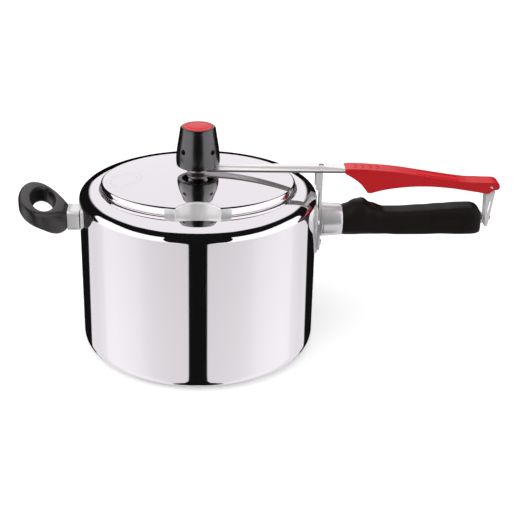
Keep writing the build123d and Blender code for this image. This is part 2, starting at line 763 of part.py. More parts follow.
# ---------------------------------------------------------------- weight
with BuildPart() as weight_shell:
    with BuildSketch(Plane.XZ):
        with BuildLine():
            Line((CAVITY_R, WEIGHT_LOW), WEIGHT_SIDE[0])
            Spline(*WEIGHT_SIDE, tangents=(WEIGHT_LOW_TANGENT, WEIGHT_NECK_TANGENT))
            Polyline(
                WEIGHT_SIDE[-1],
                (WEIGHT_TOP_R, WEIGHT_TOP - WEIGHT_LIP),
                (CAP_R + CAP_FIT, WEIGHT_TOP - WEIGHT_LIP),
                (CAP_R + CAP_FIT, CAP_LOW),
                (STEM_HOLE_R, CAP_LOW),
                (STEM_HOLE_R, CAVITY_TOP),
                (CAVITY_R, CAVITY_TOP),
                (CAVITY_R, WEIGHT_LOW),
            )
        make_face()
    revolve(axis=Axis.Z)
    with Locations((0, 0, STEAM_Z)):
        with PolarLocations(CAVITY_R, STEAM_COUNT, start_angle=STEAM_START):
            Cylinder(STEAM_R, CAVITY_R, rotation=(0, 90, 0), mode=Mode.SUBTRACT)
save(weight_shell, "weight_shell")

with BuildPart() as weight_core:
    with Locations((0, 0, CAVITY_TOP)):
        Cylinder(CAVITY_R - FIT, CORE_RIM_T, align=HANGING)
        Cylinder(CORE_R, CORE_H, align=HANGING)
        Cylinder(STEM_R, STEM_H, align=STANDING)
    with Locations((0, 0, CAVITY_TOP - CORE_H)):
        bore_depth = TUBE_TOP + CORE_BORE_GAP - CAVITY_TOP + CORE_H
        Cylinder(TUBE_R + CORE_BORE_FIT, bore_depth, align=STANDING, mode=Mode.SUBTRACT)
save(weight_core, "weight_core")

with BuildPart() as weight_cap:
    with Locations((0, 0, CAP_LOW)):
        Cylinder(CAP_R, WEIGHT_TOP - CAP_LOW, align=STANDING)
    cap_rim = weight_cap.edges().group_by(Axis.Z)[-1]
    fillet(cap_rim, CAP_ROUND)
save(weight_cap, "weight_cap")
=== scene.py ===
from math import atan2, cos, degrees, hypot, pi, radians, sin, sqrt

import bmesh
import bpy
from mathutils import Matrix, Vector


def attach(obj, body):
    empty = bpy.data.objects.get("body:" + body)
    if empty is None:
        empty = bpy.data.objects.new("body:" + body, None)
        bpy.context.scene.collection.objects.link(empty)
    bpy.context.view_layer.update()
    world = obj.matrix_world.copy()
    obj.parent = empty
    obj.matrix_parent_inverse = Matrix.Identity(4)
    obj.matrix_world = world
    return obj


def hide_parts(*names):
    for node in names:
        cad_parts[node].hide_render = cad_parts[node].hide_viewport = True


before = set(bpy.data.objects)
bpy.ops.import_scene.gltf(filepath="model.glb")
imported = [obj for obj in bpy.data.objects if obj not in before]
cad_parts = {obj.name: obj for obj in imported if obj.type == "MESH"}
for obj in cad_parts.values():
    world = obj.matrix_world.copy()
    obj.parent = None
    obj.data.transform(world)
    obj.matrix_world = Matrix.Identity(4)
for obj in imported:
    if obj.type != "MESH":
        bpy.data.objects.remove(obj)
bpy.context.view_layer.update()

MM = 0.001


# ------------------------------------------------------------------ small mesh tools


def soften(piece, width, segments, angle):
    """Round the edges that turn by more than an angle in degrees, by a width in millimetres."""
    soft = piece.modifiers.new("bevel", "BEVEL")
    soft.width = width * MM
    soft.segments = segments
    soft.limit_method = "ANGLE"
    soft.angle_limit = radians(angle)
    soft.harden_normals = True


def finish_mesh(name, mesh_data, material, sharp=35.0):
    """Turn a bmesh into an object with smooth faces, creased where they turn by more than sharp degrees."""
    mesh = bpy.data.meshes.new(name)
    bmesh.ops.recalc_face_normals(mesh_data, faces=mesh_data.faces)
    limit = radians(sharp)
    for face in mesh_data.faces:
        face.smooth = True
    for edge in mesh_data.edges:
        edge.smooth = len(edge.link_faces) == 2 and edge.calc_face_angle(0.0) < limit
    mesh_data.to_mesh(mesh)
    mesh_data.free()
    piece = bpy.data.objects.new(name, mesh)
    bpy.context.scene.collection.objects.link(piece)
    mesh.materials.append(material)
    return piece


def bridge_loops(mesh_data, loops, closed=True):
    """Make faces between neighbouring loops of vertices of equal count."""
    for first, second in zip(loops, loops[1:]):
        count = len(first)
        for i in range(count if closed else count - 1):
            j = (i + 1) % count
            mesh_data.faces.new((first[i], first[j], second[j], second[i]))


def add_loop(mesh_data, points):
    """Add a ring of vertices, given in millimetres."""
    return [mesh_data.verts.new(Vector(p) * MM) for p in points]


def revolve(name, profile, material, centre=(0, 0, 0), axis="Z", segments=96):
    """Turn a profile of (radius, height) points, in millimetres, about an axis through centre."""
    mesh_data = bmesh.new()
    loops = []
    for radius, height in profile:
        ring = []
        for i in range(segments):
            a = 2 * pi * i / segments
            u, v = radius * cos(a), radius * sin(a)
            local = (u, v, height) if axis == "Z" else (height, u, v)
            ring.append([c + d for c, d in zip(centre, local)])
        loops.append(add_loop(mesh_data, ring))
    bridge_loops(mesh_data, loops)
    bmesh.ops.remove_doubles(mesh_data, verts=mesh_data.verts, dist=0.002 * MM)
    return finish_mesh(name, mesh_data, material)


def loft(name, rings, material, sharp=35.0):
    """Skin a list of closed rings of points, in millimetres, with a face at each end."""
    mesh_data = bmesh.new()
    loops = [add_loop(mesh_data, ring) for ring in rings]
    bridge_loops(mesh_data, loops)
    mesh_data.faces.new(loops[0])
    mesh_data.faces.new(loops[-1])
    return finish_mesh(name, mesh_data, material, sharp)


def plate(name, outline, low, high, material, plane="XZ", bevel=0.3, holes=()):
    """Flat plate with an outline in a plane, from low to high along the third axis, with rounded edges."""
    mesh_data = bmesh.new()

    def place(p, q, depth):
        """Point of the plate in the object's own axes."""
        return {"XZ": (p, depth, q), "YZ": (depth, p, q), "XY": (p, q, depth)}[plane]

    loops = [add_loop(mesh_data, [place(p, q, low) for p, q in outline])]
    for hole in holes:
        loops.append(add_loop(mesh_data, [place(p, q, low) for p, q in hole]))
    edges = []
    for ring in loops:
        for i, vert in enumerate(ring):
            edges.append(mesh_data.edges.new((vert, ring[(i + 1) % len(ring)])))
    bmesh.ops.triangle_fill(mesh_data, edges=edges, use_beauty=True)
    bmesh.ops.dissolve_limit(
        mesh_data, angle_limit=0.01, verts=mesh_data.verts, edges=mesh_data.edges, delimit={"NORMAL"}
    )
    grown = bmesh.ops.extrude_face_region(mesh_data, geom=list(mesh_data.faces))
    moved = [v for v in grown["geom"] if isinstance(v, bmesh.types.BMVert)]
    bmesh.ops.translate(mesh_data, verts=moved, vec=Vector(place(0, 0, high - low)) * MM)
    piece = finish_mesh(name, mesh_data, material, 30.0)
    if bevel:
        soften(piece, bevel, 3, 40)
    return piece


def cut_away(piece, tool):
    """Cut a tool's shape out of a piece and remove the tool."""
    cut = piece.modifiers.new("cut", "BOOLEAN")
    cut.operation = "DIFFERENCE"
    cut.object = tool
    cut.solver = "EXACT"
    bpy.context.view_layer.update()
    shaped = bpy.data.meshes.new_from_object(piece.evaluated_get(bpy.context.evaluated_depsgraph_get()))
    piece.modifiers.clear()
    piece.data = shaped
    bpy.data.objects.remove(tool)


def arc(centre, radius, start, end, steps):
    """Points of an arc, angles in degrees."""
    return [
        (
            centre[0] + radius * cos(radians(start + (end - start) * i / steps)),
            centre[1] + radius * sin(radians(start + (end - start) * i / steps)),
        )
        for i in range(steps + 1)
    ]


def ellipse_arc(centre, half_w, half_h, start, end, steps):
    """Points of an elliptical arc, angles in degrees."""
    return [(centre[0] + half_w * x, centre[1] + half_h * y) for x, y in arc((0, 0), 1, start, end, steps)]


def smooth_line(points, steps=8):
    """Points of a smooth curve that passes through the given points."""
    padded = [points[0]] + list(points) + [points[-1]]
    out = []
    for a, b, c, d in zip(padded, padded[1:], padded[2:], padded[3:]):
        for i in range(steps):
            t = i / steps
            out.append(
                tuple(
                    0.5
                    * (
                        2 * q
                        + (r - p) * t
                        + (2 * p - 5 * q + 4 * r - s) * t * t
                        + (3 * q - p - 3 * r + s) * t**3
                    )
                    for p, q, r, s in zip(a, b, c, d)
                )
            )
    out.append(tuple(points[-1]))
    return out


def level_at(points, x):
    """Height at x of a line of (x, height) points that runs with x growing."""
    for a, b in zip(points, points[1:]):
        if a[0] <= x <= b[0]:
            return a[1] + (b[1] - a[1]) * (x - a[0]) / (b[0] - a[0])
    return points[-1][1]


def rounded_box(left, low, right, high, radius):
    """Outline of a rectangle with round corners, with extra points along its long sides."""
    outline = []
    corners = ((right, high, 0), (left, high, 90), (left, low, 180), (right, low, 270))
    for x, y, start in corners:
        cx = x - radius if x == right else x + radius
        cy = y - radius if y == high else y + radius
        outline += arc((cx, cy), radius, start, start + 90, 5)
        if start == 0:
            outline += [(right - radius - (right - left - 2 * radius) * k / 8, high) for k in range(1, 8)]
        if start == 180:
            outline += [(left + radius + (right - left - 2 * radius) * k / 8, low) for k in range(1, 8)]
    return outline


def at(table, x, column):
    """Value of a column of a table of rows sorted by their first entry, eased between rows."""
    if x <= table[0][0]:
        return table[0][column]
    for row, following in zip(table, table[1:]):
        if x <= following[0]:
            t = (x - row[0]) / (following[0] - row[0])
            t = t * t * (3 - 2 * t)
            return row[column] + (following[column] - row[column]) * t
    return table[-1][column]


# ------------------------------------------------------------------ materials


class Field:
    """A number in a node tree that ordinary arithmetic can be done with."""

    def __init__(self, tree, socket):
        self.tree = tree
        self.socket = socket

    def math(self, operation, other=None, third=None):
        """Result of a math node on this value."""
        node = self.tree.nodes.new("ShaderNodeMath")
        node.operation = operation
        for slot_index, value in enumerate((self, other, third)):
            if isinstance(value, Field):
                self.tree.links.new(value.socket, node.inputs[slot_index])
            elif value is not None:
                node.inputs[slot_index].default_value = value
        return Field(self.tree, node.outputs[0])

    def __add__(self, other):
        return self.math("ADD", other)

    def __sub__(self, other):
        return self.math("SUBTRACT", other)

    def __mul__(self, other):
        return self.math("MULTIPLY", other)

    def above(self, level, softness):
        """0 below level and 1 above it, with a soft step."""
        node = self.tree.nodes.new("ShaderNodeMapRange")
        node.interpolation_type = "SMOOTHSTEP"
        node.inputs["From Min"].default_value = level - softness / 2
        node.inputs["From Max"].default_value = level + softness / 2
        self.tree.links.new(self.socket, node.inputs["Value"])
        return Field(self.tree, node.outputs["Result"])

    def between(self, low, high, softness):
        """1 between two levels and 0 outside them."""
        return self.above(low, softness) * (self.above(high, softness) * -1 + 1)

    def through(self, points, scale=200):
        """Piecewise straight function of this value, through points of (value, result up to scale)."""
        first, last = points[0][0], points[-1][0]
        across = (self - first) * (1 / (last - first))
        node = self.tree.nodes.new("ShaderNodeValToRGB")
        ramp = node.color_ramp
        for value, result in points[1:-1]:
            ramp.elements.new((value - first) / (last - first))
        for element, (value, result) in zip(ramp.elements, points):
            element.color = (result / scale,) * 3 + (1,)
        ramp.elements[-1].position = 1.0
        self.tree.links.new(across.socket, node.inputs["Fac"])
        return Field(self.tree, node.outputs["Color"]) * scale

    def spread(self, low, high):
        """This value, from 0 to 1, stretched to run from low to high."""
        return self.math("MULTIPLY_ADD", high - low, low)


def new_material(name, color, roughness, metallic=0.0, **extra):
    """Principled material whose constant values sit on the shader's own sockets."""
    material = bpy.data.materials.new(name)
    material.use_nodes = True
    shader = material.node_tree.nodes["Principled BSDF"]
    shader.inputs["Base Color"].default_value = (*color, 1)
    shader.inputs["Roughness"].default_value = roughness
    shader.inputs["Metallic"].default_value = metallic
    for socket, value in extra.items():
        shader.inputs[socket.replace("_", " ")].default_value = value
    return material, material.node_tree, shader


def texture_space(tree, scale=(1, 1, 1)):
    """Object coordinates, scaled."""
    coords = tree.nodes.new("ShaderNodeTexCoord")
    mapping = tree.nodes.new("ShaderNodeMapping")
    mapping.inputs["Scale"].default_value = scale
    tree.links.new(coords.outputs["Object"], mapping.inputs["Vector"])
    return mapping.outputs["Vector"]


def noise(tree, vector, scale, detail=3.0, roughness=0.5):
    """Noise from 0 to 1 as a field."""
    node = tree.nodes.new("ShaderNodeTexNoise")
    node.inputs["Scale"].default_value = scale
    node.inputs["Detail"].default_value = detail
    node.inputs["Roughness"].default_value = roughness
    tree.links.new(vector, node.inputs["Vector"])
    return Field(tree, node.outputs["Fac"])


def color_from(tree, field, dark, light):
    """Colour that runs from dark to light as the field goes from 0 to 1."""
    node = tree.nodes.new("ShaderNodeMix")
    node.data_type = "RGBA"
    node.clamp_factor = False
    node.inputs["A"].default_value = (*dark, 1)
    node.inputs["B"].default_value = (*light, 1)
    tree.links.new(field.socket, node.inputs["Factor"])
    return node.outputs["Result"]


def bump(tree, shader, field, strength, distance):
    """Relief of the surface from a field, with its depth in metres."""
    node = tree.nodes.new("ShaderNodeBump")
    node.inputs["Strength"].default_value = strength
    node.inputs["Distance"].default_value = distance
    tree.links.new(field.socket, node.inputs["Height"])
    tree.links.new(node.outputs["Normal"], shader.inputs["Normal"])


def etched_rings(tree, centre, radii, width):
    """1 on thin broken rings round a point seen from above, and 0 elsewhere; lengths in metres."""
    coords = tree.nodes.new("ShaderNodeTexCoord")
    split = tree.nodes.new("ShaderNodeSeparateXYZ")
    tree.links.new(coords.outputs["Object"], split.inputs["Vector"])
    x, y = Field(tree, split.outputs["X"]) - centre[0], Field(tree, split.outputs["Y"]) - centre[1]
    away = (x * x + y * y).math("SQRT")
    rings = None
    for radius in radii:
        ring = away.between(radius - width / 2, radius + width / 2, width / 2)
        rings = ring if rings is None else rings + ring
    worn = noise(tree, coords.outputs["Object"], 420, 2).above(0.5, 0.25)
    return rings * worn.spread(0.25, 1.0)


# Etched mark on the lid, in metres
MARK_CENTRE = (-0.065, -0.0075)
MARK_RADII = (0.0156, 0.0118)
MARK_WIDTH = 0.0008


def polished_aluminium(name, spin_lines):
    """Mirror-polished aluminium with faint haze, and spin lines or else the lid's etched rings."""
    material, tree, shader = new_material(name, (0.9, 0.885, 0.89), 0.045, 1.0)
    space = texture_space(tree)
    haze = noise(tree, space, 16, 4, 0.55)
    rough = (haze * haze).spread(0.03, 0.075)
    tone = noise(tree, space, 5, 2)
    if not spin_lines:
        rings = etched_rings(tree, MARK_CENTRE, MARK_RADII, MARK_WIDTH)
        rough = rough + rings * 0.2
        tone = tone - rings * 5
    tree.links.new(rough.socket, shader.inputs["Roughness"])
    tree.links.new(
        color_from(tree, tone, (0.885, 0.87, 0.875), (0.915, 0.9, 0.905)),
        shader.inputs["Base Color"],
    )
    if spin_lines:
        lines = noise(tree, texture_space(tree, (1, 1, 90)), 12, 2)
        bump(tree, shader, lines, 0.02, 0.0001)
    return material


def brushed_aluminium(name, stretch):
    """Satin aluminium with brush lines along one direction."""
    material, tree, shader = new_material(name, (0.9, 0.89, 0.89), 0.3, 0.4)
    lines = noise(tree, texture_space(tree, stretch), 60, 5, 0.6)
    lines = lines * 0.6 + noise(tree, texture_space(tree, stretch), 150, 2).above(0.5, 0.3) * 0.4
    tree.links.new(lines.spread(0.24, 0.46).socket, shader.inputs["Roughness"])
    tree.links.new(
        color_from(tree, lines, (0.74, 0.735, 0.735), (1.0, 0.99, 0.99)), shader.inputs["Base Color"]
    )
    bump(tree, shader, lines, 0.25, 0.00012)
    return material


def turned_metal(name, color, stretch, low, high, metallic=1.0):
    """Bright steel or aluminium with fine tool lines."""
    material, tree, shader = new_material(name, color, low, metallic)
    lines = noise(tree, texture_space(tree, stretch), 40, 4, 0.6)
    smudge = noise(tree, texture_space(tree), 22, 3)
    tree.links.new((lines * 0.6 + smudge * 0.4).spread(low, high).socket, shader.inputs["Roughness"])
    dark = tuple(c * 0.93 for c in color)
    tree.links.new(color_from(tree, smudge, dark, color), shader.inputs["Base Color"])
    bump(tree, shader, lines, 0.12, 0.00008)
    return material


def moulded(name, dark, light, rough_low, rough_high, grain, **extra):
    """Moulded plastic with a fine grain, slight colour drift and handling marks."""
    material, tree, shader = new_material(name, dark, rough_low, **extra)
    space = texture_space(tree)
    drift = noise(tree, space, 30, 3)
    fine = noise(tree, space, 1400, 2, 0.7)
    tree.links.new(color_from(tree, drift, dark, light), shader.inputs["Base Color"])
    marks = noise(tree, space, 55, 5, 0.65)
    tree.links.new(marks.spread(rough_low, rough_high).socket, shader.inputs["Roughness"])
    bump(tree, shader, fine * 0.6 + drift * 0.4, grain, 0.0001)
    return material


POT_METAL = polished_aluminium("polished_pot", True)
LID_METAL = polished_aluminium("polished_lid", False)
NOTCH_METAL = brushed_aluminium("brushed_notch", (1, 1, 0.03))
INNER_METAL = brushed_aluminium("spun_inside", (0.05, 0.05, 1))
SHEET_METAL = turned_metal("sheet_steel", (0.93, 0.915, 0.92), (1, 1, 12), 0.22, 0.36, 0.35)
BAR_METAL = turned_metal("bar_steel", (0.97, 0.94, 0.935), (1, 14, 14), 0.2, 0.32, 0.35)
# Darker steel painted on the bar's eye, as painted shade under the weight, and on the strip's side faces, as
# a painted dark reflection
SHADE_PAINTED_STEEL = turned_metal("steel_painted_shade", (0.42, 0.4, 0.39), (1, 14, 14), 0.24, 0.38, 0.8)
COLLAR_METAL = turned_metal("collar_metal", (0.94, 0.925, 0.94), (30, 1, 1), 0.18, 0.28, 0.6)
TURNED = turned_metal("turned_steel", (0.8, 0.79, 0.79), (12, 1, 1), 0.16, 0.28, 0.8)
# Dark steel for the vent parts and nut under the weight: painted shade of the weight above them
VENT_PAINTED_SHADE = turned_metal("vent_metal", (0.34, 0.32, 0.3), (1, 1, 12), 0.2, 0.34)
BLACK = moulded(
    "black_bakelite", (0.009, 0.007, 0.006), (0.013, 0.011, 0.010), 0.38, 0.48, 0.2, Specular_IOR_Level=0.12
)
LOOP_BLACK = moulded(
    "loop_bakelite", (0.005, 0.004, 0.0035), (0.008, 0.006, 0.0055), 0.36, 0.44, 0.15, Specular_IOR_Level=0.8
)
KNOB_BLACK = moulded(
    "knob_bakelite", (0.0012, 0.001, 0.001), (0.002, 0.0018, 0.0018), 0.22, 0.28, 0.06,
    Specular_IOR_Level=1.0, Coat_Weight=1.0, Coat_Roughness=0.24,
)
RED = moulded(
    "red_plastic", (0.62, 0.006, 0.011), (0.7, 0.009, 0.015), 0.3, 0.4, 0.12, Specular_IOR_Level=0.5
)
RUBBER = moulded("seal_rubber", (0.42, 0.42, 0.41), (0.52, 0.52, 0.5), 0.5, 0.65, 0.3)
PLUG_RUBBER = moulded("plug_rubber", (0.32, 0.02, 0.02), (0.4, 0.03, 0.03), 0.45, 0.6, 0.3)

CAD_FINISH = {
    TURNED: [
        "wall_rivets", "loop_rivets", "loop_screw", "handle_tie_rod", "latch_stud", "latch_pin",
        "handle_screws",
    ],
    # The vent parts and nut take the dark steel as painted shade under the weight
    VENT_PAINTED_SHADE: ["weight_core", "vent_tube", "vent_collar", "bar_nut"],
    RUBBER: ["gasket", "vent_washer"],
    PLUG_RUBBER: ["safety_plug"],
}
for finish, names in CAD_FINISH.items():
    for node_name in names:
        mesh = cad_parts[node_name].data
        mesh.materials.clear()
        mesh.materials.append(finish)


def mount_piece(piece, body, slot, *nodes):
    """Let a piece ride on a body and stand for CAD nodes; the slot argument is not used."""
    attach(piece, body)
    if nodes:
        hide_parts(*nodes)
    return piece


# ------------------------------------------------------------------ pot

POT_R = 104.98
POT_H = 148.0
WALL = 3.0
INNER_SHOULDER = (17.5, 8.0)
FOOT_R = 12.0
MOUTH = (87.0, 72.5)
SHOULDER_START = 72.5
SHOULDER_DROP = 8.6
SHOULDER_POWER = 2.4


def shoulder_z(radius):
    """Height of the pot's shoulder at a distance from the axis."""
    across = (radius - SHOULDER_START) / (POT_R - SHOULDER_START)
    rest = max(1 - max(across, 0.0) ** SHOULDER_POWER, 0.0)
    return POT_H - SHOULDER_DROP + SHOULDER_DROP * rest ** (1 / SHOULDER_POWER)


def pot_piece():
    """The spun pot: outside, rolled-in flange with an oval mouth, and inside."""
    segments = 320
    outer = [(0.2, 0.0), (40, 0.0), (60, 0.0), (80, 0.0)]
    outer += arc((POT_R - FOOT_R, FOOT_R), FOOT_R, 270, 360, 16)
    outer += [(POT_R, z) for z in range(16, 138, 4)]
    for k in range(1, 40):
        t = radians(90 * k / 40)
        radius = SHOULDER_START + (POT_R - SHOULDER_START) * cos(t) ** (2 / SHOULDER_POWER)
        if radius > 89.5:
            outer.append((radius, shoulder_z(radius)))
    inner_r = POT_R - WALL
    inner = ellipse_arc(
        (POT_R - INNER_SHOULDER[0], POT_H - INNER_SHOULDER[1]),
        INNER_SHOULDER[0] - WALL, INNER_SHOULDER[1] - WALL, 90, 0, 12,
    )
    inner += [(inner_r, 130), (inner_r, 90), (inner_r, 50), (inner_r, 20)]
    inner += arc((inner_r - 9, 12.5), 9, 0, -90, 10)
    inner += [(60, 3.5), (0.2, 3.5)]
    mesh_data = bmesh.new()
    loops = []

    def ring(point_at):
        """Add a loop whose points depend on the angle."""
        loops.append(add_loop(mesh_data, [point_at(2 * pi * i / segments) for i in range(segments)]))

    for radius, z in outer:
        ring(lambda a, r=radius, h=z: (r * cos(a), r * sin(a), h))
    lip = WALL / 2
    start = outer[-1][0]

    def toward_mouth(a, t):
        """Point of the flange, from its round outside to the oval mouth as t goes from 0 to 1."""
        x = (start + (MOUTH[0] + 0.4 - start) * t) * cos(a)
        y = (start + (MOUTH[1] + lip - start) * t) * sin(a)
        return x, y, shoulder_z(hypot(x, y))

    for k in range(1, 13):
        ring(lambda a, t=k / 12: toward_mouth(a, t))
    for step in range(1, 9):
        angle = radians(90 - 180 * step / 8)
        fall, reach = lip - lip * sin(angle), lip * cos(angle)

        def lip_point(a, fall=fall, reach=reach):
            """Point of the mouth's rounded edge."""
            x, y, z = toward_mouth(a, 1)
            return x - 0.25 * reach * cos(a), y - reach * sin(a), z - fall

        ring(lip_point)
    for radius, z in inner:
        ring(lambda a, r=radius, h=z: (r * cos(a), r * sin(a), h))
    bridge_loops(mesh_data, loops)
    piece = finish_mesh("pot_shell", mesh_data, POT_METAL, 60)
    piece.data.materials.append(INNER_METAL)
    for polygon in piece.data.polygons:
        centre = polygon.center / MM
        reach = hypot(centre.x, centre.y)
        if reach < POT_R - WALL + 0.2 and 3 < centre.z < min(POT_H - WALL, shoulder_z(reach) - 1.5):
            polygon.material_index = 1
    return mount_piece(piece, "pot", "polished_body", "pot_body")


pot_piece()

# ------------------------------------------------------------------ lid

DOME_R = (420.0, 320.0)
DOME_TOP = 162.0
NECK = (85.5, 71.0)
FLANGE = (91.0, 79.0)
FLANGE_TOP = 142.7
SHEET = 2.5
NOTCH_Y = -84.0
NOTCH_LOW_R = 22.5
NOTCH_HIGH_R = 24.8
EDGE_ROUND = (1.5, 4.4)
NOTCH_ROUND = 1.5
DOME_RINGS = 44
# Half width of the satin patch round the notch, which hides the neck's double reflection beside it
PATCH_HALF = 28


def neck_outline(notch_r, steps):
    """Closed outline of the lid's raised middle, seen from above, with its notch."""
    crossing = None
    for i in range(2000):
        x = notch_r * i / 2000
        y = -NECK[1] * sqrt(1 - (x / NECK[0]) ** 2)
        if hypot(x, y - NOTCH_Y) >= notch_r:
            crossing = (x, y)
            break
    start = atan2(crossing[1] / NECK[1], crossing[0] / NECK[0])
    points = []
    span = 2 * pi - 2 * (pi / 2 + start)
    for i in range(steps):
        a = start + span * i / steps
        points.append((NECK[0] * cos(a), NECK[1] * sin(a)))
    notch_start = atan2(crossing[1] - NOTCH_Y, -crossing[0])
    notch_end = atan2(crossing[1] - NOTCH_Y, crossing[0])
    notch_steps = steps // 4
    for i in range(notch_steps):
        a = notch_start + (notch_end - notch_start) * i / notch_steps
        points.append((notch_r * cos(a), NOTCH_Y + notch_r * sin(a)))
    return points


def edge_drop(distance, radius):
    """How far a rounded edge falls at a distance inside it."""
    if distance >= radius:
        return 0.0
    inside = radius - max(distance, 0.0)
    return radius - sqrt(max(radius * radius - inside * inside, 0.0))


def lid_height(x, y):
    """Height of the lid's top over a point of its raised middle."""
    z = DOME_TOP - x * x / (2 * DOME_R[0]) - y * y / (2 * DOME_R[1])
    reach = hypot(x / NECK[0], y / NECK[1])
    slope = hypot(x / NECK[0] ** 2, y / NECK[1] ** 2)
    to_rim = reach * (1 - reach) / slope if slope > 0 else NECK[1]
    to_notch = hypot(x, y - NOTCH_Y) - NOTCH_HIGH_R
    rounding = EDGE_ROUND[0] + (EDGE_ROUND[1] - EDGE_ROUND[0]) * (y / NECK[1]) ** 2
    z -= max(edge_drop(to_rim, rounding), edge_drop(to_notch, NOTCH_ROUND))
    return z


def lid_piece():
    """The oval lid: dome, rounded edge, notch, neck and the flange that stays inside the pot."""
    outline = neck_outline(NOTCH_HIGH_R, 720)
    low_outline = neck_outline(NOTCH_LOW_R, 720)
    mesh_data = bmesh.new()
    insets = [0, 0.07, 0.18, 0.35, 0.55, 0.8, 1.1, 1.4, 1.8, 2.2, 2.6, 3.1, 3.6, 4.1, 4.6, 6, 8]
    last = insets[-1]
    hole = 4.0
    rows = []
    for inset in insets:
        rows.append(lambda x, y, d=inset: 1 - d / hypot(x, y))
    for k in range(DOME_RINGS):
        t = (k + 1) / DOME_RINGS
        rows.append(lambda x, y, t=t: (1 - last / hypot(x, y)) * (1 - t) + hole / hypot(x, y) * t)
    loops = []
    for row in reversed(rows):
        ring = []
        for x, y in outline:
            s = row(x, y)
            ring.append((x * s, y * s, lid_height(x * s, y * s)))
        loops.append(add_loop(mesh_data, ring))
    top_ring = [v.co.z / MM for v in loops[-1]]
    for t in (0.12, 0.35, 0.65, 1.0):
        ring = []
        for (x, y), (u, v), z in zip(outline, low_outline, top_ring):
            ring.append((x + (u - x) * t, y + (v - y) * t, z + (FLANGE_TOP - z) * t))
        loops.append(add_loop(mesh_data, ring))
    ring = []
    for u, v in low_outline:
        a = atan2(v / FLANGE[1], u / FLANGE[0])
        ring.append((FLANGE[0] * cos(a), FLANGE[1] * sin(a), FLANGE_TOP))
    loops.append(add_loop(mesh_data, ring))
    bridge_loops(mesh_data, loops)
    piece = finish_mesh("lid_shell", mesh_data, LID_METAL, 50)
    piece.data.materials.append(NOTCH_METAL)
    for polygon in piece.data.polygons:
        centre = polygon.center / MM
        from_notch = hypot(centre.x, centre.y - NOTCH_Y)
        on_wall = abs(polygon.normal.z) < 0.93 and FLANGE_TOP < centre.z
        inward = -(polygon.normal.x * centre.x + polygon.normal.y * (centre.y - NOTCH_Y)) / from_notch
        facing = inward / max(hypot(polygon.normal.x, polygon.normal.y), 0.001) > 0.8
        beside = abs(polygon.normal.z) < 0.8 and abs(centre.x) < PATCH_HALF and centre.y < 0
        if on_wall and (facing and from_notch < NOTCH_HIGH_R + 1.5 or beside):
            polygon.material_index = 1
    sheet = piece.modifiers.new("sheet", "SOLIDIFY")
    sheet.thickness = SHEET * MM
    sheet.offset = -1
    return mount_piece(piece, "lid", "polished_lid", "lid")


lid_piece()

# ------------------------------------------------------------------ weight

STEAM_Z = 184
STEAM_R = 2.3
WEIGHT_PROFILE = (
    [(14.0, 194.0), (14.0, 169.3)]
    + arc((14.8, 169.3), 0.8, 180, 270, 4)
    + arc((17.7, 169.6), 1.1, 270, 352, 6)
    + smooth_line([(18.8, 169.8), (19.1, 172.5), (19.0, 177), (18.55, 182), (17.85, 187), (17.05, 192)], 5)
    + smooth_line([(17.05, 192), (16.3, 196.8), (15.7, 200.4)], 4)[1:]
    + arc((13.2, 201.1), 2.5, 0, 80, 8)
    + [(13.2, 203.55), (12.95, 203.4), (12.95, 199.6), (3.2, 199.6), (3.2, 194.0), (14.0, 194.0)]
)


def weight_pieces():
    """The black weight with its four steam holes, and its red cap."""
    shell = revolve("weight_body", WEIGHT_PROFILE, KNOB_BLACK, segments=128)
    for k in range(4):
        a = radians(45 + 90 * k)
        reach = []
        for along in (10, 24):
            ring = []
            for i in range(32):
                t = 2 * pi * i / 32
                across, up = STEAM_R * cos(t), STEAM_R * sin(t)
                x, y = along * cos(a) - across * sin(a), along * sin(a) + across * cos(a)
                ring.append((x, y, STEAM_Z + up))
            reach.append(ring)
        tool = loft("hole_tool", reach, KNOB_BLACK)
        cut_away(shell, tool)
    mount_piece(shell, "weight", "knob_plastic", "weight_shell")
    cap_profile = [(0.05, 199.7), (12.85, 199.7), (12.85, 203.3)] + arc((12.25, 203.3), 0.6, 0, 80, 5)
    cap_profile += [(11.0, 203.92), (10.6, 203.7), (10.2, 203.68), (9.8, 203.9), (5, 204.1), (0.05, 204.2)]
    cap = revolve("weight_button", cap_profile, RED, segments=96)
    mount_piece(cap, "weight", "red_plastic", "weight_cap")


weight_pieces()

# ------------------------------------------------------------------ handles


def rounded_section(x, low, high, width, power):
    """Closed ring in a plane of constant x: an ellipse for power 2, squarer for more."""
    count = 48
    ring = []
    for i in range(count):
        a = 2 * pi * i / count
        c, s = cos(a), sin(a)
        y = width / 2 * (1 if c > 0 else -1) * abs(c) ** (2 / power)
        z = (high - low) / 2 * (1 if s > 0 else -1) * abs(s) ** (2 / power)
        ring.append((x, y, (low + high) / 2 + z))
    return ring


# Lower handle sections: x, lowest z, highest z, width, squareness
LOWER = [
    (128.0, 102.9, 129.9, 27.0, 2.0),
    (131.0, 102.7, 131.0, 27.2, 2.1),
    (140.0, 103.0, 135.0, 27.2, 2.4),
    (146.0, 103.6, 136.0, 27.0, 2.6),
    (154.0, 104.2, 131.0, 26.0, 3.0),
    (166.0, 104.8, 126.9, 25.0, 3.6),
    (178.0, 104.4, 126.8, 24.4, 4.0),
    (200.0, 104.6, 128.0, 24.0, 4.4),
    (216.0, 105.2, 129.2, 24.0, 4.6),
    (232.0, 104.7, 130.4, 24.0, 4.6),
    (242.0, 104.8, 130.7, 24.0, 4.4),
]


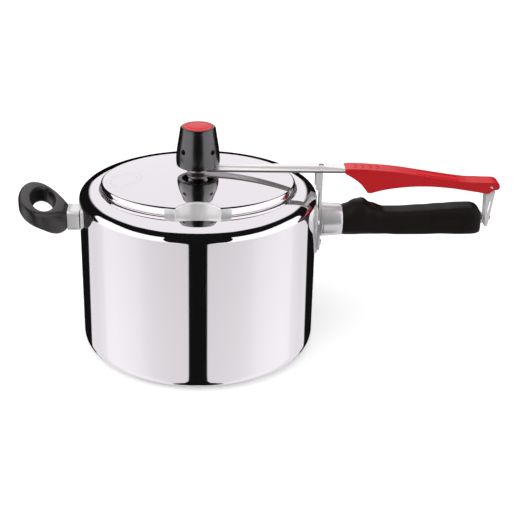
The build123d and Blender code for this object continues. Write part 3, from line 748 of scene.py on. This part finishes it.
def lower_handle_piece():
    """Black handle: round at the ferrule, a thumb hump, then a rounded box to a blunt end."""
    rings = []
    stations = [128 + 2 * k for k in range(58)]
    for x in stations:
        rings.append(rounded_section(x, *[at(LOWER, x, c) for c in range(1, 5)]))
    last = 242.0
    reach = 251.0 - last
    for k in range(1, 11):
        a = radians(9 * k)
        shrink = 5.0 * (1 - cos(a)) if k < 10 else 5.0
        drop = 7.5 * (1 - cos(a))
        x = last + reach * sin(a)
        rings.append(rounded_section(x, 104.8 + shrink * 0.4, 130.7 - drop, 24.0 - 1.6 * shrink, 4.2))
    piece = loft("lower_grip", rings, BLACK, 50)
    mount_piece(piece, "pot", "black_plastic", "lower_handle")
    badge = plate(
        "lower_frame", rounded_box(206.5, 112.2, 237.0, 123.8, 1.8), -12.6, -11.4, BLACK, bevel=0.2,
        holes=[rounded_box(207.8, 113.5, 235.7, 122.5, 0.9)],
    )
    mount_piece(badge, "pot", "black_plastic")


lower_handle_piece()

GRIP_GROOVES = [136.5, 143.0, 149.5, 156.0]


def upper_handle_piece():
    """Red handle moulded round the bar: flat crisp top, guard underneath, forked end for the link."""
    back = [(128.3, 165.4), (128.8, 166.3), (130, 166.75), (137, 166.95), (150, 166.3), (174, 164.1)]
    back += [(203, 159.4), (222, 156.4), (235, 154.8), (245, 154.45), (252, 154.1)]
    top = smooth_line(back, 5)
    nose = [(256, 154.1), (259.5, 154.0), (262.4, 153.5), (264.2, 152.3), (264.8, 150.9), (264.85, 149.4)]
    nose += [(264.7, 148.2), (263.9, 147.4), (262.5, 147.1)]
    lip = [(260.5, 147.0), (258.6, 146.5), (257.2, 145.5), (255.9, 144.2)]
    under = [(254.5, 143.7), (242, 145.9), (222, 149.0), (203, 150.6), (185, 150.3), (166, 148.0)]
    under += [(154, 145.0)]
    belly = smooth_line(under, 6)
    guard = [(152.3, 144.5), (150.2, 144.4), (148.6, 145.2), (146.6, 147.9), (143, 152.4), (140, 155.2)]
    guard += [(136.5, 157.7), (133, 160.0), (130, 161.7), (128.6, 162.6), (128.3, 163.4)]
    outline = top + nose + lip + belly + guard
    piece = plate("upper_grip", outline, -8.2, 8.2, RED, bevel=0)
    slot_shape = [
        (120, 164.9), (120, 166.9), (130.2, 165.75), (152.2, 164.25), (152.2, 162.15), (130.2, 163.65),
    ]
    cut_away(piece, plate("slot_tool", slot_shape, -6.55, 6.55, RED, bevel=0))
    fork_shape = [(251.5, 130), (251.5, 147.5), (253.5, 151.4), (275, 151.4), (275, 130)]
    cut_away(piece, plate("fork_tool", fork_shape, -5.9, 5.9, RED, bevel=0))
    for x in GRIP_GROOVES:
        rings = []
        for depth, half in ((1.5, 0.9), (-0.65, 0.5)):
            curve = [(x + 2.2 * (1 - (y / 4.6) ** 2), y) for y in (-4.6, -3.4, -1.8, 0, 1.8, 3.4, 4.6)]
            ring = [(px - half, y, level_at(top, px) + depth) for px, y in curve]
            ring += [(px + half, y, level_at(top, px) + depth) for px, y in reversed(curve)]
            rings.append(ring)
        cut_away(piece, loft("grip_tool", rings, RED))
    for vert in piece.data.vertices:
        past = max(vert.co.x / MM - 256.0, 0.0)
        if abs(vert.co.y) > 7 * MM:
            vert.co.y *= 1 - 0.19 * (past / 9.0) ** 2
    soften(piece, 0.9, 4, 35)
    mount_piece(piece, "lever", "red_plastic", "upper_handle")
    frame_piece = plate(
        "upper_frame", rounded_box(191, -5.4, 229, 5.4, 1.2), -0.4, 0.5, RED, plane="XY", bevel=0.15,
        holes=[rounded_box(192.3, -4.1, 227.7, 4.1, 0.6)],
    )
    for vert in frame_piece.data.vertices:
        vert.co.z += MM * level_at(top, vert.co.x / MM)
    mount_piece(frame_piece, "lever", "red_plastic")


upper_handle_piece()


def loop_handle_piece():
    """Black ring handle that slopes up and out, with a thick root."""
    half = smooth_line(
        [
            (-116, 11), (-122, 20.5), (-130, 29.5), (-138, 34.8), (-145, 35.2), (-151, 31), (-155.6, 22),
            (-157.9, 11), (-158.5, 0),
        ],
        5,
    )
    outer = half + [(x, -y) for x, y in reversed(half[:-1])]
    hole = []
    for x, y in outer:
        a = atan2(y / 25.0, (x + 137.5) / 9.8)
        hole.append((-137.5 + 9.8 * cos(a), 25.0 * sin(a)))

    def top_z(x):
        """Height of the top face."""
        return 127.4 + 0.40 * (-116 - x)

    underside = smooth_line(
        [(-160.5, 131.6), (-150, 127.5), (-137, 120.3), (-127, 112.2), (-121, 109.2), (-116, 109.6)], 8
    )

    def low_z(x):
        """Height of the underside."""
        return level_at(underside, x)

    rounding = 4.0
    mesh_data = bmesh.new()
    loops = []
    rings = []
    for k in range(7):
        a = radians(90 - 15 * k)
        rings.append(("outer", rounding * (1 - cos(a)), rounding * (1 - sin(a)), "top"))
    for k in range(7):
        a = radians(15 * k)
        rings.append(("outer", rounding * (1 - cos(a)), rounding * (1 - sin(a)), "low"))
    for k in range(7):
        a = radians(90 - 15 * k)
        rings.append(("hole", rounding * 0.6 * (1 - cos(a)), rounding * 0.6 * (1 - sin(a)), "low"))
    for k in range(7):
        a = radians(15 * k)
        rings.append(("hole", rounding * 0.6 * (1 - cos(a)), rounding * 0.6 * (1 - sin(a)), "top"))
    for which, inset, fall, side in rings:
        ring = []
        for (x, y), (hx, hy) in zip(outer, hole):
            dx, dy = hx - x, hy - y
            length = hypot(dx, dy)
            room = min(inset, length * 0.45)
            if which == "outer":
                px, py = x + dx / length * room, y + dy / length * room
            else:
                px, py = hx - dx / length * room, hy - dy / length * room
            z = top_z(px) - fall if side == "top" else low_z(px) + fall
            ring.append((px, py, z))
        loops.append(add_loop(mesh_data, ring))
    bridge_loops(mesh_data, loops + [loops[0]], closed=False)
    root = [loop[0] for loop in loops]
    root_other = [loop[-1] for loop in loops]
    bridge_loops(mesh_data, [root, root_other], closed=True)
    piece = finish_mesh("loop_grip", mesh_data, LOOP_BLACK, 50)
    return mount_piece(piece, "pot", "black_plastic", "loop_handle")


loop_handle_piece()

# ------------------------------------------------------------------ sheet metal and bar

# Underside of the bar as (x, height)
BAR_LINE = [
    (12, 163.65), (50, 164.8), (88, 165.9), (98, 165.95), (109.3, 165.75), (119, 164.9), (130, 163.7),
    (152, 162.2),
]


def lever_bar_piece():
    """Flat steel strip with a round eye and a slot over the post."""
    eye_r, hole_r, half = 10.4, 4.6, 6.5
    join = sqrt(eye_r**2 - half**2)
    centre_line = smooth_line(BAR_LINE, 4)
    outline = arc((0, 0), eye_r, degrees(atan2(half, join)), 360 - degrees(atan2(half, join)), 40)
    outline += [(point[0], -half) for point in centre_line]
    outline += [(point[0], half) for point in reversed(centre_line)]
    eye = arc((0, 0), hole_r, 0, 345, 23)
    slot_box = [(106.4, -3.1), (110.0, -3.1), (110.0, 3.1), (106.4, 3.1)]
    piece = plate("lever_strip", outline, 0, 2, BAR_METAL, plane="XY", bevel=0, holes=[eye, slot_box])
    for vert in piece.data.vertices:
        x = vert.co.x / MM
        vert.co.z += MM * (at(centre_line, x, 1) if x > BAR_LINE[0][0] else BAR_LINE[0][1])
    # The eye under the weight and the strip's side faces take the darker steel: painted shade and painted
    # dark reflection
    piece.data.materials.append(SHADE_PAINTED_STEEL)
    for polygon in piece.data.polygons:
        on_eye = max(hypot(*piece.data.vertices[v].co.xy) for v in polygon.vertices) < 12 * MM
        if on_eye or abs(polygon.normal.y) > 0.7:
            polygon.material_index = 1
    soften(piece, 0.35, 3, 50)
    return mount_piece(piece, "lever", "bar_steel", "lever_bar")


lever_bar_piece()


def fulcrum_post_piece():
    """Folded channel post: a web down the wall and two side flanges under the bar."""
    low_x, web_x, high_x = 103.3, 107.1, 109.3
    web_outline = [(-6.5, 92.5)] + arc((0, 92.5), 6.5, 180, 360, 16)[1:]
    web_outline += [(6.5, 165.3), (2.5, 165.3), (2.5, 167.0), (-2.5, 167.0), (-2.5, 165.3), (-6.5, 165.3)]
    web = plate("post_web", web_outline, web_x, high_x, SHEET_METAL, plane="YZ", bevel=0.5)
    mount_piece(web, "pot", "steel_sheet", "fulcrum_post")
    side = [
        (low_x, 147.5), (web_x, 144.5), (web_x + 0.6, 144.5), (web_x + 0.6, 165.2), (web_x, 165.2),
        (low_x, 164.6),
    ]
    for name, low, high in (("post_side_front", -6.5, -4.3), ("post_side_back", 4.3, 6.5)):
        flange = plate(name, side, low, high, SHEET_METAL, bevel=0.4)
        mount_piece(flange, "pot", "steel_sheet")


fulcrum_post_piece()


def wall_plate_piece():
    """Shield-shaped sheet that hugs the wall behind the post."""
    corners = [(-23, 132), (23, 132), (29, 117), (8, 85), (-8, 85), (-29, 117)]
    outline = []
    for i, corner in enumerate(corners):
        before, after = Vector(corners[i - 1]), Vector(corners[(i + 1) % 6])
        here = Vector(corner)
        a = here + (before - here).normalized() * 6
        b = here + (after - here).normalized() * 6
        for k in range(7):
            t = k / 6
            outline.append(tuple(a * (1 - t) ** 2 + here * 2 * t * (1 - t) + b * t * t))
    mesh_data = bmesh.new()
    middle_z, front_r, wall_r = 112.0, 107.05, 105.1
    loops = []
    for s in (0.02, 0.35, 0.6, 0.8, 0.92, 0.97, 1.0):
        loops.append([(y * s, middle_z + (z - middle_z) * s, front_r) for y, z in outline])
    loops[-1] = [(y, z, 106.7) for y, z, r in loops[-1]]
    loops.append([(y, z, wall_r) for y, z in outline])
    loops.append([(y * 0.02, middle_z, wall_r) for y, z in outline])
    built = []
    for loop in loops:
        built.append(add_loop(mesh_data, [(sqrt(r * r - y * y), y, z) for y, z, r in loop]))
    bridge_loops(mesh_data, built)
    mesh_data.faces.new(built[0])
    mesh_data.faces.new(built[-1])
    piece = finish_mesh("wall_shield", mesh_data, SHEET_METAL, 40)
    return mount_piece(piece, "pot", "steel_sheet", "wall_plate")


wall_plate_piece()


def ferrule_piece():
    """Tapered tube between the post and the black handle."""
    z = 116.4
    profile = [(2.7, 109.35), (14.4, 109.35), (14.95, 109.6), (15.15, 110.2), (15.05, 112)]
    profile += [(14.45, 120), (13.95, 126.6), (13.75, 127.5), (13.4, 127.95), (2.7, 127.95)]
    piece = revolve("handle_collar", profile, COLLAR_METAL, centre=(0, 0, z), axis="X", segments=96)
    return mount_piece(piece, "pot", "ferrule_steel", "handle_ferrule")


ferrule_piece()


def loop_bracket_piece():
    """Boxed sheet bracket of the loop handle, flaring on to the wall."""
    low, high, half, wall_r = 109.6, 127.4, 11.0, 105.1
    rings = []
    for x, grow in ((-116.0, -0.4), (-115.7, 0.0), (-109.5, 0.0), (-106.9, 0.05), (-105.2, 0.2)):
        ring = []
        corner = 3.0
        for cx, cz, start in ((1, 1, 0), (-1, 1, 90), (-1, -1, 180), (1, -1, 270)):
            for k in range(6):
                a = radians(start + 18 * k)
                y = cx * (half - corner) + (corner + grow) * cos(a)
                zz = (low + high) / 2 + cz * ((high - low) / 2 - corner) + (corner + grow * 0.6) * sin(a)
                wall = sqrt(wall_r**2 - y * y)
                ring.append((min(x, -wall) if x > -106.6 else x + (wall_r - wall) * (x + 116) / 12, y, zz))
        rings.append(ring)
    piece = loft("loop_foot", rings, SHEET_METAL, 45)
    return mount_piece(piece, "pot", "steel_sheet", "loop_bracket")


loop_bracket_piece()


def latch_link_piece():
    """U-shaped stamped link: two slotted cheeks and a foot."""
    px, pz = 257.2, 149.0
    outline = arc((px, pz), 2.25, -10, 190, 12)
    outline += [(px - 3.6, 142.0), (px - 2.6, 123.5), (px - 1.8, 111.6), (px + 0.8, 111.6), (px + 4.6, 144.6)]
    eye = arc((px, pz), 1.58, 0, 330, 11)
    window = [(px - 0.9, 135.5), (px - 0.7, 124.5), (px + 0.1, 124.5), (px + 1.7, 135.5)]
    cheeks = (("link_cheek_front", -5.5, -4.2), ("link_cheek_back", 4.2, 5.5))
    for k, (name, low, high) in enumerate(cheeks):
        cheek = plate(name, outline, low, high, SHEET_METAL, bevel=0.25, holes=[eye, window])
        if k == 0:
            mount_piece(cheek, "latch", "bar_steel", "latch_link")
        else:
            mount_piece(cheek, "latch", "bar_steel")
    foot_shape = [
        (-5.45, 112.3), (-4.9, 111.7), (-4.0, 111.5), (4.0, 111.5), (4.9, 111.7), (5.45, 112.3), (5.45, 113),
        (-5.45, 113),
    ]
    foot = plate("link_foot", foot_shape, px - 1.7, px + 0.8, SHEET_METAL, plane="YZ", bevel=0.2)
    mount_piece(foot, "latch", "bar_steel")


latch_link_piece()

# ------------------------------------------------------------------ floor, light and camera

# Strength of the soft light from below and from above
SOFT_LOW = 0.25
SOFT_HIGH = 0.9


def floor_piece():
    """Plain pale floor under and behind the object."""
    mesh = bpy.data.meshes.new("floor")
    size = 6.0
    corners = [(-size, -size, 0), (size, -size, 0), (size, size, 0), (-size, size, 0)]
    mesh.from_pydata(corners, [], [(0, 1, 2, 3)])
    floor = bpy.data.objects.new("floor", mesh)
    bpy.context.scene.collection.objects.link(floor)
    paint = new_material(
        "pale_floor", (0.93, 0.93, 0.93), 0.9, Emission_Color=(1, 1, 1, 1), Emission_Strength=0.24
    )
    mesh.materials.append(paint[0])
    floor.location.z = -0.0002
    floor.visible_glossy = False
    floor.visible_diffuse = False


floor_piece()


# What polished metal mirrors, as limits of the direction round Z (0 at the front, 180 at the back,
# both sides alike) against the height above the horizon, in degrees
CENTRE_DARK = [
    (-90, 190), (-80, 120), (-76, 60), (-70, 35), (-60, 17), (-45, 11), (-30, 9), (-18, 8.8), (-15, 26),
    (-3, 29), (15, 31), (30, 34), (45, 38), (55, 44), (62, 50), (68, 60), (72, 75), (75, 100), (77, 190),
]
SIDE_DARK = [
    (-90, 190), (-40, 190), (-37, 140), (-22, 131), (-19, 110), (-10, 105), (0, 103), (10, 106),
    (20, 112), (30, 127), (37, 140), (45, 138), (52, 128), (58, 108), (62, 92), (67, 72), (71, 60),
]
BACK_LIGHT = [
    (-6.5, 190), (-5, 172), (5, 170), (15, 166), (25, 162), (35, 159), (48, 160), (55, 166), (58, 190),
]
PANEL_TONES = [
    (8, 209), (30, 213), (42, 217), (52, 223), (60, 231), (74, 237), (90, 241), (101, 240), (106, 229),
    (119, 220), (135, 222),
]


def studio_world():
    """Plain white studio for direct view and soft light, with dark gaps in what polished metal mirrors."""
    world = bpy.data.worlds.new("studio")
    bpy.context.scene.world = world
    world.use_nodes = True
    tree = world.node_tree
    tree.nodes.clear()
    coords = tree.nodes.new("ShaderNodeTexCoord")
    split = tree.nodes.new("ShaderNodeSeparateXYZ")
    tree.links.new(coords.outputs["Generated"], split.inputs["Vector"])
    x, y, z = [Field(tree, split.outputs[c]) for c in "XYZ"]
    side = x.math("ARCTAN2", y * -1).math("ABSOLUTE") * degrees(1)
    height = z.math("ARCSINE") * degrees(1)

    def beyond(limits, softness=1.2):
        """1 where the direction lies beyond the limits, seen from the front."""
        return (side - height.through(limits)).above(0, softness)

    front = beyond(CENTRE_DARK) * (beyond(SIDE_DARK, 2.0) * -1 + 1)
    tones = [(a, (v / 255) ** 2.2) for a, v in PANEL_TONES]
    low_tone = side.through(tones, 1) + height.between(-60, -27, 8) * 0.05
    high = height.above(-17, 3)
    front_tone = low_tone * (high * -1 + 1) + high * 1.08
    back = beyond(BACK_LIGHT, 3.0) * 0.86
    light = (front * front_tone).math("MAXIMUM", back).math("MAXIMUM", 0.006)
    mirror = tree.nodes.new("ShaderNodeBackground")
    mirror.inputs["Color"].default_value = (1.08, 1.045, 1.09, 1)
    tree.links.new(light.socket, mirror.inputs["Strength"])
    plain = tree.nodes.new("ShaderNodeBackground")
    tree.links.new(z.above(0.05, 0.7).spread(SOFT_LOW, SOFT_HIGH).socket, plain.inputs["Strength"])
    white = tree.nodes.new("ShaderNodeBackground")
    white.inputs["Color"].default_value = (1, 1, 1, 1)
    path = tree.nodes.new("ShaderNodeLightPath")
    shiny = tree.nodes.new("ShaderNodeMixShader")
    tree.links.new(path.outputs["Is Glossy Ray"], shiny.inputs["Fac"])
    tree.links.new(plain.outputs["Background"], shiny.inputs[1])
    tree.links.new(mirror.outputs["Background"], shiny.inputs[2])
    direct = tree.nodes.new("ShaderNodeMixShader")
    tree.links.new(path.outputs["Is Camera Ray"], direct.inputs["Fac"])
    tree.links.new(shiny.outputs["Shader"], direct.inputs[1])
    tree.links.new(white.outputs["Background"], direct.inputs[2])
    output = tree.nodes.new("ShaderNodeOutputWorld")
    tree.links.new(direct.outputs["Shader"], output.inputs["Surface"])


studio_world()


def flag(name, rows):
    """Dark card made of rows of points in millimetres, seen only in what metal and plastic mirror."""
    mesh_data = bmesh.new()
    bridge_loops(mesh_data, [add_loop(mesh_data, row) for row in rows], closed=False)
    cloth = new_material(name + "_cloth", (0.004, 0.004, 0.004), 1.0, Specular_IOR_Level=0.0)
    card = finish_mesh(name, mesh_data, cloth[0])
    for ray in ("camera", "diffuse", "shadow", "transmission"):
        setattr(card, "visible_" + ray, False)


BEHIND = [radians(25 + 130 * i / 48) for i in range(49)]
flag("rim_flag", [[(112 * cos(a), 112 * sin(a), z) for a in BEHIND] for z in (143.0, 153.2)])


def sun(name, direction, strength, spread):
    """Very soft distant lamp that mirrors don't show."""
    lamp = bpy.data.lights.new(name, "SUN")
    lamp.energy = strength
    lamp.angle = radians(spread)
    lamp_object = bpy.data.objects.new(name, lamp)
    bpy.context.scene.collection.objects.link(lamp_object)
    lamp_object.rotation_euler = Vector(direction).to_track_quat("-Z", "Y").to_euler()
    lamp_object.visible_glossy = False


sun("key_light", (0.35, 0.5, -1.0), 1.5, 70)


def camera():
    """Camera in front of the object, looking down on it at the photo's angle."""
    pitch = radians(25.47)
    distance = 1.067
    pixels_per_mm = 1.0988
    photo_width = 514
    target = Vector((0, 0, 0.07405))
    data = bpy.data.cameras.new("camera")
    data.sensor_width = 36
    data.lens = data.sensor_width * pixels_per_mm * 1067 / photo_width
    data.shift_x = 0.1148
    data.shift_y = 0.0091
    view = bpy.data.objects.new("camera", data)
    bpy.context.scene.collection.objects.link(view)
    view.location = target + Vector((0, -distance * cos(pitch), distance * sin(pitch)))
    view.rotation_euler = (pi / 2 - pitch, 0, 0)
    bpy.context.scene.camera = view


camera()
bpy.context.scene.view_settings.view_transform = "Standard"
